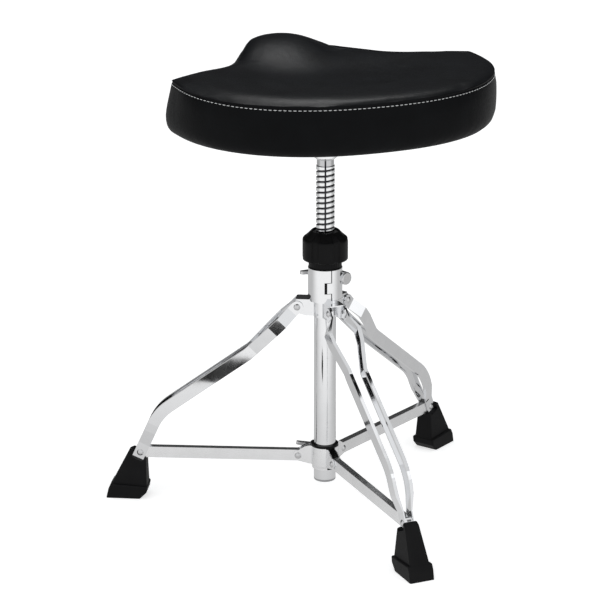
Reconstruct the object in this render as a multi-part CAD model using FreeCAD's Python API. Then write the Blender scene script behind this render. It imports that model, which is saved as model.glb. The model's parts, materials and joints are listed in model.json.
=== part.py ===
import FreeCAD, Part
import math
import os

# Drum throne: saddle seat on a threaded post, collar with a clamp, tube and a folding double-braced tripod.
# Millimetres, +Z up. Everything is drawn round the tube's axis, with z = 0 on the floor; leg parts are drawn
# for a leg that points along +X (radius = x, tangent = y) and turned to the leg's azimuth. On saving, SHIFT
# moves the whole object so that the origin is the bottom centre of its bounding box.

V = FreeCAD.Vector
UP = V(0, 0, 1)
SHIFT = V(37.185, 12.053, 0)

# ---- tripod ----
LEG_AZIMUTH = {"left": 174.7, "front": 294.7, "right": 54.7}
FOLD_PIVOT = (35.2, 271.5)
FOOT_PIVOT = (243.4, 62.0)
STAY_PIVOT = (34.6, 65.2)
FIRST_BEND = (97.0, 207.0)
SECOND_BEND = (217.3, 119.4)
FIRST_BEND_RADIUS = 40.0
SECOND_BEND_RADIUS = 66.0
STRIP_WIDTH = 15.6
STRIP_SHEET = 1.8
FLANGE = 4.6
STRIP_EAR_T = 12.2
STRIP_BULGE_T = 23.0
STRIP_RUN_T = 13.3
STRIP_FOOT_T = 6.6
STRIP_TOP_OVERHANG = 7.8
TONGUE = 30.0
RIVET_SHANK = 2.5
RIVET_HEAD = 4.4
RIVET_DOME = 2.4
RUNNING = 0.05
SIDE_GAP = 0.3

# ---- stays ----
STAY_HEIGHT = 15.0
STAY_HALF = 4.5
STAY_SHEET = 1.5

# ---- column ----
TUBE_R = 14.3
TUBE_BORE = 12.7
TUBE_BOTTOM = 35.5
TUBE_TOP = 300.0
CAP_BOTTOM = 32.0
COLLAR_Z = (280.4, 323.8)
COLLAR_R = 22.2
COLLAR_SHEET = 2.2
LIP_Z = (258.5, 280.4)
LIP_R = 16.9
EAR_OUT = 10.0
EAR_SHEET = 1.8
TOP_PLATE = 1.5
LOW_Z = (54.8, 79.9)
LOW_R = 18.0
LOW_BORE = 15.5
LOW_LIP_Z = 49.6
BOSS_AZIMUTH = 114.7
BOSS_Z = 69.0

# ---- clamp ----
CLAMP_Z = 309.0
CLAMP_OFFSET = 16.4
CLAMP_AZIMUTH = 135.0
SLIT_AZIMUTH = -68.0
SLIT_BACK_AZIMUTH = 62.0
SLIT_WIDTH = 1.2

# ---- post and knob ----
POST_R = 12.0
POST_BORE = 8.5
POST_Z = (215.0, 508.0)
KEYWAY = (2.4, 1.9)
KNOB_R = 29.5
KNOB_GROOVE_R = 26.6
KNOB_LOBES = 6
KNOB_NECK_R = 21.4
KNOB_Z = (324.9, 334.7, 362.5, 374.0)
NUT_R = 17.0

# ---- seat ----
SEAT_TURN = 22.5
SEAT_BOTTOM = 518.0
SEAT_TOP = 584.0
SEAT_HALF_WIDTH = 212.0
SEAT_REAR = 194.0
SEAT_NOSE = 151.0
COVER = 1.5
HEM = 32.0
BOARD = 12.0
BOARD_INSET = 15.0
POMMEL_TOP = 605.0
DISH_DEPTH = 8.5


def save(name, shape):
    moved = shape.copy()
    moved.translate(SHIFT)
    moved.exportStep("parts/" + name + ".step")


def turned(shape, degrees, centre=V(0, 0, 0), axis=UP):
    copy = shape.copy()
    copy.rotate(centre, axis, degrees)
    return copy


def tube(r_out, r_in, z0, z1):
    outer = Part.makeCylinder(r_out, z1 - z0, V(0, 0, z0))
    return outer.cut(Part.makeCylinder(r_in, z1 - z0 + 2, V(0, 0, z0 - 1)))


def ring_sector(r_out, r_in, z0, z1, start, end):
    outer = Part.makeCylinder(r_out, z1 - z0, V(0, 0, z0), UP, end - start)
    return turned(outer.cut(Part.makeCylinder(r_in, z1 - z0 + 2, V(0, 0, z0 - 1))), start)


def group(shapes):
    return Part.makeCompound(shapes)


def fused(shapes):
    return shapes[0].multiFuse(shapes[1:]).removeSplitter()


def plate(points, t0, t1):
    """Polygon of (radius, height) points, thick from tangent t0 to t1."""
    wire = Part.makePolygon([V(r, t0, z) for r, z in points + points[:1]])
    return Part.Face(wire).extrude(V(0, t1 - t0, 0))


def pin(r, z, radius, t0, t1):
    return Part.makeCylinder(radius, t1 - t0, V(r, t0, z), V(0, 1, 0))


def rounded_bar(a, b, half, t0, t1):
    """Stadium between two (radius, height) centres."""
    dr = b[0] - a[0]
    dz = b[1] - a[1]
    length = math.hypot(dr, dz)
    nr = -dz / length * half
    nz = dr / length * half
    sides = [(a[0] + nr, a[1] + nz), (b[0] + nr, b[1] + nz), (b[0] - nr, b[1] - nz), (a[0] - nr, a[1] - nz)]
    return fused([plate(sides, t0, t1), pin(a[0], a[1], half, t0, t1), pin(b[0], b[1], half, t0, t1)])


def dome(r, z, t, side, radius, height):
    """Domed rivet head that stands out of the face at tangent t, towards side."""
    sphere_r = (radius ** 2 + height ** 2) / (2 * height)
    ball = Part.makeSphere(sphere_r, V(r, t + side * (height - sphere_r), z))
    keep = pin(r, z, radius + 1, min(t, t + side * height * 2), max(t, t + side * height * 2))
    return ball.common(keep)


# ---------------------------------------------------------------- legs
def unit(a, b):
    length = math.hypot(b[0] - a[0], b[1] - a[1])
    return ((b[0] - a[0]) / length, (b[1] - a[1]) / length)


def along(point, direction, distance):
    return (point[0] + direction[0] * distance, point[1] + direction[1] * distance)


DIR_TOP = unit(FOLD_PIVOT, FIRST_BEND)
DIR_MIDDLE = unit(FIRST_BEND, SECOND_BEND)
DIR_FOOT = unit(SECOND_BEND, FOOT_PIVOT)


def slope(direction):
    return math.atan2(direction[1], direction[0])


def bend_stations(corner, before, after, radius, t, steps):
    """Stations round a bend of the strip: (centre, slope, tangent position, flange depth)."""
    turn = slope(after) - slope(before)
    reach = radius * math.tan(abs(turn) / 2)
    start = along(corner, before, -reach)
    side = math.copysign(1, turn)
    centre = (start[0] - side * before[1] * radius, start[1] + side * before[0] * radius)
    stations = []
    for i in range(steps + 1):
        angle = slope(before) + turn * i / steps
        point = (centre[0] + side * math.sin(angle) * radius, centre[1] - side * math.cos(angle) * radius)
        stations.append((point, angle, t, FLANGE))
    return stations


def strip_section(station, side, grow, outside, inside):
    """Rectangle across the strip: outside and inside are tangent offsets from the strip's outer face."""
    (r, z), angle, t, _ = station
    nr = -math.sin(angle) * (STRIP_WIDTH / 2 + grow)
    nz = math.cos(angle) * (STRIP_WIDTH / 2 + grow)
    t_out = side * (t + outside)
    t_in = side * (t - inside)
    corners = [V(r + nr, t_out, z + nz), V(r - nr, t_out, z - nz)]
    corners += [V(r - nr, t_in, z - nz), V(r + nr, t_in, z + nz)]
    return Part.makePolygon(corners + corners[:1])


def strip_loft(stations, side, grow, outside, recess):
    sections = []
    for station in stations:
        depth = station[3] + 3 if recess else station[3]
        sections.append(strip_section(station, side, grow, outside, depth))
    return Part.makeLoft(sections, True, True)


def leg_stations():
    """The strip's three stretches: down from the fold pivot, the two bends, and down to the boot."""
    top_angle = slope(DIR_TOP)
    foot_angle = slope(DIR_FOOT)
    ear_end = along(FOLD_PIVOT, DIR_TOP, 9)
    bulge_start = along(FOLD_PIVOT, DIR_TOP, 27)
    bulge_end = along(FOLD_PIVOT, DIR_TOP, 44)
    run_start = along(FOLD_PIVOT, DIR_TOP, 83)
    first = [
        (along(FOLD_PIVOT, DIR_TOP, -STRIP_TOP_OVERHANG), top_angle, STRIP_EAR_T, STRIP_SHEET),
        (ear_end, top_angle, STRIP_EAR_T, STRIP_SHEET),
        (bulge_start, top_angle, STRIP_BULGE_T, FLANGE),
        (bulge_end, top_angle, STRIP_BULGE_T - 1.2, FLANGE),
        (run_start, top_angle, STRIP_RUN_T, FLANGE),
    ]
    first_bend = bend_stations(FIRST_BEND, DIR_TOP, DIR_MIDDLE, FIRST_BEND_RADIUS, STRIP_RUN_T, 3)
    second_bend = bend_stations(SECOND_BEND, DIR_MIDDLE, DIR_FOOT, SECOND_BEND_RADIUS, STRIP_RUN_T, 7)
    last = [
        (along(FOOT_PIVOT, DIR_FOOT, -34), foot_angle, STRIP_RUN_T - 0.8, FLANGE),
        (along(FOOT_PIVOT, DIR_FOOT, -13), foot_angle, STRIP_FOOT_T, STRIP_SHEET),
        (along(FOOT_PIVOT, DIR_FOOT, TONGUE), foot_angle, STRIP_FOOT_T, STRIP_SHEET),
    ]
    return first + first_bend + second_bend + last


def leg_strip(side):
    """Pressed steel channel whose flanges face the other strip and fade out at both riveted ends."""
    stations = leg_stations()
    bar = strip_loft(stations, side, 0, 0, False)
    hollow = strip_loft(stations, side, -STRIP_SHEET, -STRIP_SHEET, True)
    strip = bar.cut(hollow)
    t0 = min(side * 20, side * 2)
    t1 = max(side * 20, side * 2)
    corner = along(FOLD_PIVOT, DIR_TOP, -STRIP_TOP_OVERHANG - 1)
    end_block = rounded_bar(corner, FOLD_PIVOT, STRIP_WIDTH, t0, t1)
    end_round = rounded_bar(FOLD_PIVOT, along(FOLD_PIVOT, DIR_TOP, 30), STRIP_WIDTH / 2 + 0.01, t0, t1)
    strip = strip.cut(end_block.cut(end_round))
    strip = strip.cut(pin(FOLD_PIVOT[0], FOLD_PIVOT[1], RIVET_SHANK, t0, t1))
    return strip.cut(pin(FOOT_PIVOT[0], FOOT_PIVOT[1], RIVET_SHANK, t0, t1))


def fold_rivets():
    """The two riveted ends of the fold axle, one in each strip's ear."""
    r, z = FOLD_PIVOT
    rivets = []
    for side in (1, -1):
        t_in = side * (STRIP_EAR_T - STRIP_SHEET)
        t_out = side * STRIP_EAR_T
        shank = pin(r, z, RIVET_SHANK, min(t_in, t_out), max(t_in, t_out))
        rivets.append(fused([shank, dome(r, z, t_out, side, RIVET_HEAD, RIVET_DOME)]))
    return group(rivets)


def through_rivet(pivot, half):
    r, z = pivot
    heads = [dome(r, z, side * half, side, RIVET_HEAD, RIVET_DOME) for side in (1, -1)]
    return fused([pin(r, z, RIVET_SHANK, -half, half)] + heads)


def rubber_boot():
    """Tapered boot on the two tongues, with a wider band round the sole and a rounded heel."""
    body = plate([(258.5, 63.5), (252.5, 66.5), (235.5, 53), (234.5, 14), (284, 14)], -20, 20)
    taper = [V(200, 15.2, 0), V(200, -15.2, 0), V(200, -9.2, 68), V(200, 9.2, 68)]
    body = body.common(Part.Face(Part.makePolygon(taper + taper[:1])).extrude(V(120, 0, 0)))
    body = body.makeFillet(2.6, [e for e in body.Edges if e.BoundBox.ZMax > 20])
    band = plate([(288.4, 0), (243, 0), (234.6, 8.5), (233.2, 17), (281.6, 19.5), (285.6, 12.5)], -16.7, 16.7)
    band = band.makeFillet(2.0, [e for e in band.Edges if e.BoundBox.ZMax > 1])
    boot = fused([body, band])
    for side in (1, -1):
        t_in = side * (STRIP_FOOT_T - STRIP_SHEET)
        t_out = side * STRIP_FOOT_T
        half = STRIP_WIDTH / 2
        start = along(FOOT_PIVOT, DIR_FOOT, -20)
        tongue_end = along(FOOT_PIVOT, DIR_FOOT, TONGUE)
        pocket_end = along(FOOT_PIVOT, DIR_FOOT, 9.5)
        boot = boot.cut(straight_bar(start, tongue_end, half, t_in, t_out))
        boot = boot.cut(straight_bar(start, pocket_end, half, t_in, side * 20))
    inner = STRIP_FOOT_T - STRIP_SHEET
    return boot.cut(rounded_bar(STAY_PIVOT, FOOT_PIVOT, STAY_HEIGHT / 2 + 1.5, -inner, inner))


def straight_bar(a, b, half, t0, t1):
    """Rectangle along a line from a to b, half wide each side."""
    dr, dz = unit(a, b)
    nr = -dz * half
    nz = dr * half
    sides = [(a[0] + nr, a[1] + nz), (b[0] + nr, b[1] + nz), (b[0] - nr, b[1] - nz), (a[0] - nr, a[1] - nz)]
    return plate(sides, min(t0, t1), max(t0, t1))


def stay():
    """Inverted channel from the sliding collar to the leg's foot pivot."""
    half = STAY_HEIGHT / 2
    bar = rounded_bar(STAY_PIVOT, FOOT_PIVOT, half, -STAY_HALF, STAY_HALF)
    inner = STAY_HALF - STAY_SHEET
    dr, dz = unit(STAY_PIVOT, FOOT_PIVOT)
    top = half - STAY_SHEET
    a = along(STAY_PIVOT, (dr, dz), -20)
    b = along(FOOT_PIVOT, (dr, dz), 20)
    hollow = [(a[0] - dz * top, a[1] + dr * top), (b[0] - dz * top, b[1] + dr * top)]
    hollow += [(b[0] + dz * 20, b[1] - dr * 20), (a[0] + dz * 20, a[1] - dr * 20)]
    bar = bar.cut(plate(hollow, -inner, inner))
    for r, z in (STAY_PIVOT, FOOT_PIVOT):
        bar = bar.cut(pin(r, z, RIVET_SHANK + RUNNING, -10, 10))
    return bar


# ---------------------------------------------------------------- brackets
def ear_plate(azimuth, t0, t1, outline):
    return turned(plate(outline, min(t0, t1), max(t0, t1)), azimuth)


def bracket_segment(arc_out, arc_in, z0, z1, t_in, t_out, outline):
    """One pressing between two neighbouring legs, centred on azimuth 0, with an ear for each leg."""
    reach = 60 - math.degrees(math.asin((t_in + t_out) / 2 / ((arc_out + arc_in) / 2)))
    arc = ring_sector(arc_out, arc_in, z0, z1, -reach, reach)
    ear_a = ear_plate(60, -t_out, -t_in, outline)
    ear_b = ear_plate(-60, t_in, t_out, outline)
    core = Part.makeCylinder(arc_in, 400, V(0, 0, 0))
    return fused([arc, ear_a.cut(core), ear_b.cut(core)])


def leg_bracket():
    z0, z1 = LIP_Z
    outline = [(13, z0 + 1.5), (24, z0 + 1.5), (39, 264.2), (42.2, 270), (41.4, 276.5)]
    outline += [(36.5, z1 - 0.1), (13, z1 - 0.1)]
    segment = bracket_segment(LIP_R, TUBE_R + 0.1, z0, z1 - 0.1, EAR_OUT - EAR_SHEET, EAR_OUT, outline)
    segment = segment.cut(Part.makeCylinder(1.4, 30, V(0, 0, z0 + 4.5), V(1, 0, 0)))
    for azimuth, t0, t1 in ((60, -20, 0), (-60, 0, 20)):
        segment = segment.cut(turned(pin(FOLD_PIVOT[0], FOLD_PIVOT[1], RIVET_SHANK, t0, t1), azimuth))
    return segment


def top_plate():
    """Three-armed plate that closes the top of the leg brackets."""
    z0 = LIP_Z[1] - 0.1
    disc = Part.makeCylinder(COLLAR_R - 0.6, TOP_PLATE, V(0, 0, z0))
    arms = []
    for azimuth in LEG_AZIMUTH.values():
        arm = Part.makeBox(37.5, EAR_OUT * 2, TOP_PLATE, V(0, -EAR_OUT, z0))
        arm = arm.makeFillet(3.0, [e for e in arm.Edges if e.BoundBox.ZLength > 1 and e.BoundBox.XMin > 30])
        arms.append(turned(arm, azimuth))
    return fused([disc] + arms).cut(Part.makeCylinder(TUBE_R + 0.1, 20, V(0, 0, z0 - 5)))


def lower_segment():
    z0, z1 = LOW_Z
    t_in = STAY_HALF + SIDE_GAP
    t_out = t_in + 1.5
    mid = STAY_PIVOT[1]
    outline = [(13, z0), (20, z0), (33.5, mid - 7.2), (39.2, mid - 5.4), (42.0, mid), (39.2, mid + 5.4)]
    outline += [(34.6, mid + 7.4), (26, z1 - 1.5), (20, z1), (13, z1)]
    segment = bracket_segment(LOW_R, LOW_BORE, z0, z1, t_in, t_out, outline)
    lip_reach = 47
    cone = Part.makeCone(LOW_BORE + 1.2, LOW_R, 3, V(0, 0, z0 - 3), UP, 2 * lip_reach)
    cone = turned(cone.cut(Part.makeCylinder(LOW_BORE, 20, V(0, 0, z0 - 8))), -lip_reach)
    lip = ring_sector(LOW_BORE + 1.2, LOW_BORE, LOW_LIP_Z, z0 - 3, -lip_reach, lip_reach)
    segment = fused([segment, cone, lip])
    for azimuth in (60, -60):
        segment = segment.cut(turned(pin(STAY_PIVOT[0], STAY_PIVOT[1], RIVET_SHANK, -20, 20), azimuth))
    return segment


# ---------------------------------------------------------------- wings
def wing(reach, hub_r, hub_length, sweep, bore):
    """Two-winged nut on +X: hub from x = 0, wings along +-Y that sweep outwards as they rise."""
    hub = Part.makeCone(hub_r, hub_r * 0.82, hub_length, V(0, 0, 0), V(1, 0, 0))
    parts = [hub]
    for side in (1, -1):
        a = V(1.5, side * hub_r * 0.5, 0)
        b = V(sweep, side * reach * 0.72, 0)
        c = V(sweep + 3.5, side * reach, 0)
        d = V(sweep + 8.5, side * reach * 0.93, 0)
        e = V(hub_length - 0.5, side * hub_r * 0.5, 0)
        blade = Part.Face(Part.makePolygon([a, b, c, d, e, a])).extrude(V(0, 0, 4.2))
        blade.translate(V(0, 0, -2.1))
        tall = [edge for edge in blade.Edges if edge.BoundBox.ZLength > 4]
        tips = [edge for edge in tall if abs(edge.CenterOfMass.y) > reach * 0.85]
        parts.append(blade.makeFillet(2.0, tips))
    whole = fused(parts)
    if bore:
        whole = whole.cut(Part.makeCylinder(bore, hub_length + 2, V(-1, 0, 0), V(1, 0, 0)))
    return whole


def aimed(shape, origin, azimuth):
    """Put a shape drawn along +X at a point, pointing along an azimuth."""
    copy = turned(shape, azimuth)
    copy.translate(origin)
    return copy


# ---------------------------------------------------------------- upper collar
def clamp_point(b):
    """Point on the clamp bolt's axis, b along the axis from its closest point to the tube's axis."""
    foot = math.radians(CLAMP_AZIMUTH - 90)
    axis = math.radians(CLAMP_AZIMUTH)
    x = CLAMP_OFFSET * math.cos(foot) + b * math.cos(axis)
    y = CLAMP_OFFSET * math.sin(foot) + b * math.sin(axis)
    return V(x, y, CLAMP_Z)


def clamp_cylinder(radius, b0, b1):
    axis = math.radians(CLAMP_AZIMUTH)
    return Part.makeCylinder(radius, b1 - b0, clamp_point(b0), V(math.cos(axis), math.sin(axis), 0))


HEAD_B = -23.8
NUT_B = 22.6
BOLT_R = 3.0


def collar_parts():
    """Sleeve with its floor, and the clamp half that hooks into the sleeve's window."""
    z0, z1 = COLLAR_Z
    z0 = z0 + TOP_PLATE - 0.1
    inner = COLLAR_R - COLLAR_SHEET
    floor = tube(COLLAR_R - 0.01, TUBE_R + 0.1, z0, z0 + 2)
    half_gap = math.degrees(SLIT_WIDTH / 2 / COLLAR_R)
    shell = ring_sector(COLLAR_R, inner, z0, z1, SLIT_BACK_AZIMUTH + half_gap, 360 + SLIT_AZIMUTH - half_gap)
    sleeve = fused([shell, floor])
    sleeve = fused([sleeve, clamp_cylinder(7.5, 11.5, 20.0).cut(Part.makeCylinder(inner, 400))])
    sleeve = sleeve.cut(clamp_cylinder(BOLT_R + 0.3, -40, 40))
    window = ring_sector(COLLAR_R + 1, inner - 1, 293, 308, SLIT_AZIMUTH - 24, SLIT_AZIMUTH)
    sleeve = sleeve.cut(window)
    half_arc = (SLIT_AZIMUTH + half_gap, SLIT_BACK_AZIMUTH - half_gap)
    half = ring_sector(COLLAR_R, inner, z0 + 2.2, z1, half_arc[0], half_arc[1])
    tongue = ring_sector(COLLAR_R, inner, 293.6, 307.4, SLIT_AZIMUTH - 15, SLIT_AZIMUTH + 4)
    boss = clamp_cylinder(8.6, HEAD_B + 3.02, -8.0).cut(Part.makeCylinder(inner, 400))
    half = fused([half, tongue, boss])
    half = half.cut(clamp_cylinder(BOLT_R + 0.3, -40, 40))
    return sleeve, half


def collar_bush():
    """Nylon liner: wide bore round the tube's top, narrow bore round the post."""
    z0 = COLLAR_Z[0] + TOP_PLATE - 0.1 + 2
    bush = tube(COLLAR_R - COLLAR_SHEET, TUBE_R + 0.05, z0, TUBE_TOP)
    upper = tube(COLLAR_R - COLLAR_SHEET, POST_R + 0.08, TUBE_TOP, COLLAR_Z[1])
    bush = fused([bush, upper])
    bush = bush.cut(clamp_cylinder(BOLT_R + 0.3, -40, 40))
    slot_arc = (SLIT_BACK_AZIMUTH - 2, SLIT_BACK_AZIMUTH + 2)
    slot = ring_sector(COLLAR_R, POST_R - 1, z0 - 1, COLLAR_Z[1] + 1, slot_arc[0], slot_arc[1])
    key_hole = Part.makeBox(2 * KEYWAY[0], 3.2, 10, V(-KEYWAY[0], -POST_R - 3.2, 303))
    return bush.cut(slot).cut(key_hole)


def guide_key():
    """Key that fills its pocket in the bush and rides in the post's keyway."""
    half = KEYWAY[0] / 2 - 0.08
    depth = POST_R - KEYWAY[1] + 0.3
    block = Part.makeBox(2 * half, POST_R + 0.3 - depth, 10, V(-half, -POST_R - 0.3, 303))
    foot = Part.makeBox(2 * KEYWAY[0], 2.9, 10, V(-KEYWAY[0], -POST_R - 3.2, 303))
    foot = foot.cut(Part.makeCylinder(POST_R + 0.3, 400))
    return fused([block, foot])


# ---------------------------------------------------------------- post and knob
def seat_post():
    z0, z1 = POST_Z
    post = Part.makeCylinder(POST_R, 458 - z0, V(0, 0, z0))
    post = fused([post, Part.makeCylinder(POST_R - 0.9, z1 - 458, V(0, 0, 458))])
    post = post.cut(Part.makeCylinder(POST_BORE, z1 - z0 - 6, V(0, 0, z0 - 1)))
    slot = Part.makeBox(KEYWAY[0], KEYWAY[1] + 1, 466 - z0 - 14, V(-KEYWAY[0] / 2, -POST_R - 1, z0 + 14))
    return post.cut(slot)


def height_knob():
    """Six-lobed nylon hand wheel with a coned top and a narrower neck below."""
    z_neck, z_skirt, z_side, z_top = KNOB_Z
    neck = Part.makeCylinder(KNOB_NECK_R, z_skirt - z_neck, V(0, 0, z_neck))
    body = Part.makeCylinder(KNOB_R, z_side - z_skirt, V(0, 0, z_skirt))
    cone = Part.makeCone(KNOB_R, 18.5, z_top - z_side, V(0, 0, z_side))
    knob = fused([neck, body, cone])
    cutter_r = 14.0
    depth = KNOB_R - KNOB_GROOVE_R
    for i in range(KNOB_LOBES):
        angle = math.radians(-87.6 + 30 + 60 * i)
        reach = KNOB_R - depth + cutter_r
        centre = V(reach * math.cos(angle), reach * math.sin(angle), z_skirt - 0.01)
        knob = knob.cut(Part.makeCylinder(cutter_r, 60, centre))
    knob = knob.cut(Part.makeCylinder(NUT_R, 60, V(0, 0, z_neck + 6)))
    return knob.cut(Part.makeCylinder(POST_R + 0.6, 80, V(0, 0, z_neck - 5)))


def knob_nut():
    """Threaded steel insert pressed into the knob."""
    nut = Part.makeCylinder(NUT_R, 39, V(0, 0, KNOB_Z[0] + 6))
    for i in range(6):
        flat = Part.makeCylinder(1.2, 60, V(NUT_R, 0, KNOB_Z[0]))
        nut = nut.cut(turned(flat, 60 * i))
    return nut.cut(Part.makeCylinder(POST_R + 0.3, 80, V(0, 0, KNOB_Z[0] - 5)))


# ---------------------------------------------------------------- seat
def seat_outline(inset):
    """Saddle outline in the seat's own axes: nose to +Y, round rear to -Y, concave thigh cut-outs."""
    half = SEAT_HALF_WIDTH - inset
    rear = SEAT_REAR - inset
    nose = SEAT_NOSE - inset
    power = 2.25
    rear_points = []
    for i in range(13):
        a = math.radians(-90 + 7.5 * i)
        x = half * abs(math.cos(a)) ** (2 / power)
        y = -rear * abs(math.sin(a)) ** (2 / power)
        rear_points.append((x, y))
    scale = half / SEAT_HALF_WIDTH
    front = [(206, 14), (173, 32), (134, 49), (104, 70), (84, 96), (62, 128), (34, 146)]
    right = rear_points + [(x * scale, y - inset * 0.75) for x, y in front] + [(0, nose)]
    left = [(-x, y) for x, y in reversed(right[1:-1])]
    points = [V(x, y, 0) for x, y in right + left]
    curve = Part.BSplineCurve()
    curve.interpolate(points, True)
    return Part.Wire(curve.toShape())


def seat_block(inset, z0, z1, rounding):
    face = Part.Face(seat_outline(inset))
    face.translate(V(0, 0, z0))
    block = face.extrude(V(0, 0, z1 - z0))
    if rounding:
        rims = [e for e in block.Edges if e.BoundBox.ZLength < 0.1 and e.BoundBox.ZMin > z1 - 0.1]
        block = block.makeFillet(rounding, rims)
    return block


def ellipsoid(a, b, c, centre):
    stretch = FreeCAD.Matrix()
    stretch.scale(a, b, c)
    shape = Part.makeSphere(1.0).transformGeometry(stretch)
    shape.translate(centre)
    return shape


def pommel(inset):
    """Low dome over the nose of the saddle."""
    height = POMMEL_TOP - SEAT_TOP + 10
    return ellipsoid(60.0 - inset, 56.0 - inset, height - inset, V(-12, 89, SEAT_TOP - 10))


def dish(inset):
    """Cutter that leaves the sitting surface DISH_DEPTH deep in the middle."""
    height = 30.0
    return ellipsoid(240.0 + inset, 200.0 + inset, height + inset, V(0, -12, SEAT_TOP + height - DISH_DEPTH))


def in_place(shape):
    return turned(shape, SEAT_TURN)


def seat_parts():
    outer = seat_block(0, SEAT_BOTTOM, SEAT_TOP, 9).cut(dish(0)).fuse(pommel(0))
    inner = seat_block(COVER, SEAT_BOTTOM + COVER, SEAT_TOP - COVER, 8).cut(dish(COVER)).fuse(pommel(COVER))
    cover = outer.cut(inner)
    opening = seat_block(HEM, SEAT_BOTTOM - 1, SEAT_BOTTOM + COVER + 0.01, 0)
    cover = cover.cut(opening)
    board_z = (SEAT_BOTTOM + COVER, SEAT_BOTTOM + COVER + BOARD)
    board = seat_block(BOARD_INSET, board_z[0], board_z[1], 0)
    foam = inner.cut(seat_block(BOARD_INSET, SEAT_BOTTOM, board_z[1], 0))
    cloth = seat_block(HEM + 0.3, SEAT_BOTTOM + 0.3, SEAT_BOTTOM + COVER, 0)
    cloth = cloth.cut(Part.makeBox(114, 114, 20, V(-57, -57, SEAT_BOTTOM - 5)))
    for x, y in bolt_places():
        board = board.cut(Part.makeCylinder(4.2, 40, V(x, y, SEAT_BOTTOM - 5)))
        board = board.cut(Part.makeCylinder(9.6, 1.6, V(x, y, board_z[1] - 1.6)))
    return cover, foam, board, cloth


BRACKET_HALF = 55.0
BOLT_INSET = 41.0
SOCKET_R = 15.5
SOCKET_BOTTOM = 470.0


def bolt_places():
    return [(sx * BOLT_INSET, sy * BOLT_INSET) for sx in (1, -1) for sy in (1, -1)]


def seat_bracket():
    """Pressed plate with a coned boss that grips the top of the post."""
    top = SEAT_BOTTOM + COVER
    base = Part.makeBox(2 * BRACKET_HALF, 2 * BRACKET_HALF, 3, V(-BRACKET_HALF, -BRACKET_HALF, top - 3))
    base = base.makeFillet(12, [e for e in base.Edges if e.BoundBox.ZLength > 2])
    cone = Part.makeCone(SOCKET_R + 3, 40, 28, V(0, 0, top - 3 - 28))
    sleeve = Part.makeCylinder(SOCKET_R, top - 3 - SOCKET_BOTTOM, V(0, 0, SOCKET_BOTTOM))
    foot = Part.makeCone(POST_R + 0.2, SOCKET_R, 3, V(0, 0, SOCKET_BOTTOM - 3))
    hollow = Part.makeCone(SOCKET_R, 37, 28, V(0, 0, top - 28))
    bell = cone.cut(hollow)
    bracket = fused([base, bell, sleeve, foot])
    bracket = bracket.cut(Part.makeCylinder(POST_R - 0.85, 100, V(0, 0, 440)))
    for x, y in bolt_places():
        bracket = bracket.cut(Part.makeCylinder(3.3, 20, V(x, y, top - 10)))
    return bracket.cut(Part.makeCylinder(3.0, 60, V(0, 0, 481), V(1, 0, 0)))


def seat_bolts():
    top = SEAT_BOTTOM + COVER
    bolts = []
    for x, y in bolt_places():
        head = Part.makeCylinder(5.6, 3.6, V(x, y, top - 3 - 1.4 - 3.6))
        head = head.makeFillet(1.2, [e for e in head.Edges if e.BoundBox.ZMax < top - 7])
        head = head.cut(Part.makeCylinder(2.2, 2.2, V(x, y, top - 8.1)))
        bolts.append(fused([head, Part.makeCylinder(3.0, 4.4 + BOARD - 2, V(x, y, top - 4.4))]))
    return group(bolts)


def seat_washers():
    top = SEAT_BOTTOM + COVER
    washers = []
    for x, y in bolt_places():
        ring = Part.makeCylinder(7.2, 1.4, V(x, y, top - 4.4))
        washers.append(ring.cut(Part.makeCylinder(3.0, 5, V(x, y, top - 6))))
    return group(washers)


def tee_nuts():
    top = SEAT_BOTTOM + COVER
    nuts = []
    for x, y in bolt_places():
        barrel = Part.makeCylinder(4.2, BOARD - 1.6, V(x, y, top))
        flange = Part.makeCylinder(9.6, 1.6, V(x, y, top + BOARD - 1.6))
        nuts.append(fused([barrel, flange]).cut(Part.makeCylinder(3.0, 40, V(x, y, top - 5))))
    return group(nuts)


def seat_lock_bolt():
    """Square-headed bolt through the side of the bracket's boss."""
    shank = Part.makeCylinder(3.0, 11.0, V(POST_R - 0.7, 0, 481), V(1, 0, 0))
    collar = Part.makeCylinder(5.4, 2.2, V(SOCKET_R + 4.4, 0, 481), V(1, 0, 0))
    head = Part.makeBox(8.5, 5.6, 5.6, V(SOCKET_R + 6.6, -2.8, 478.2))
    return fused([shank, collar, head])


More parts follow.
